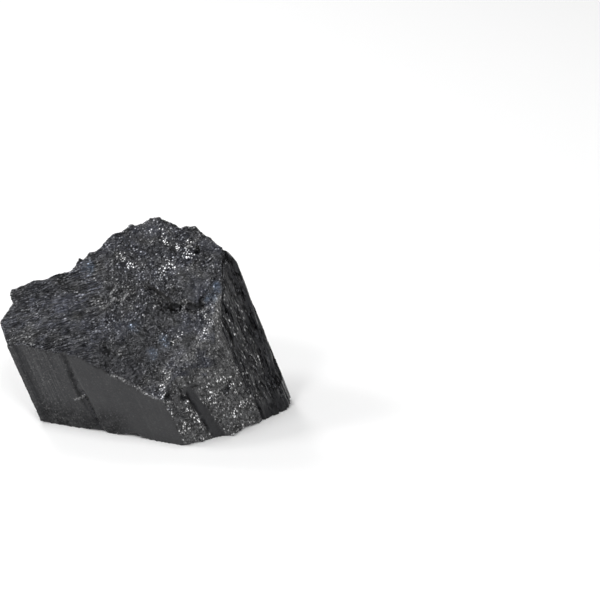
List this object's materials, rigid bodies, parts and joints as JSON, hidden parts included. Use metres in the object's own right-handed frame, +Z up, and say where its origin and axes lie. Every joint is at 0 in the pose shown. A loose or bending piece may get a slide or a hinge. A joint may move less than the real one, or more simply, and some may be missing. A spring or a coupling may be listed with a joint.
{
  "type": "raw black tourmaline",
  "caption": "Broken chunk of black tourmaline crystal with fluted growth faces, rough sloping fractures and a flat base to rest on.",
  "frame": {"origin": "centre of the bounding box's bottom face, on the flat base that the stone rests on", "axes": "+Z up from the flat base; +X along the stone's longest side, with the crystal's axis leaning towards -X; -Y towards the side with the smooth fluted face and the long sloping fracture"},
  "size_m": [0.071, 0.043, 0.0474],
  "materials": {
    "black_tourmaline": "satin"
  },
  "bodies": {
    "root": {"tourmaline_crystal": "black_tourmaline"}
  },
  "joints": []
}
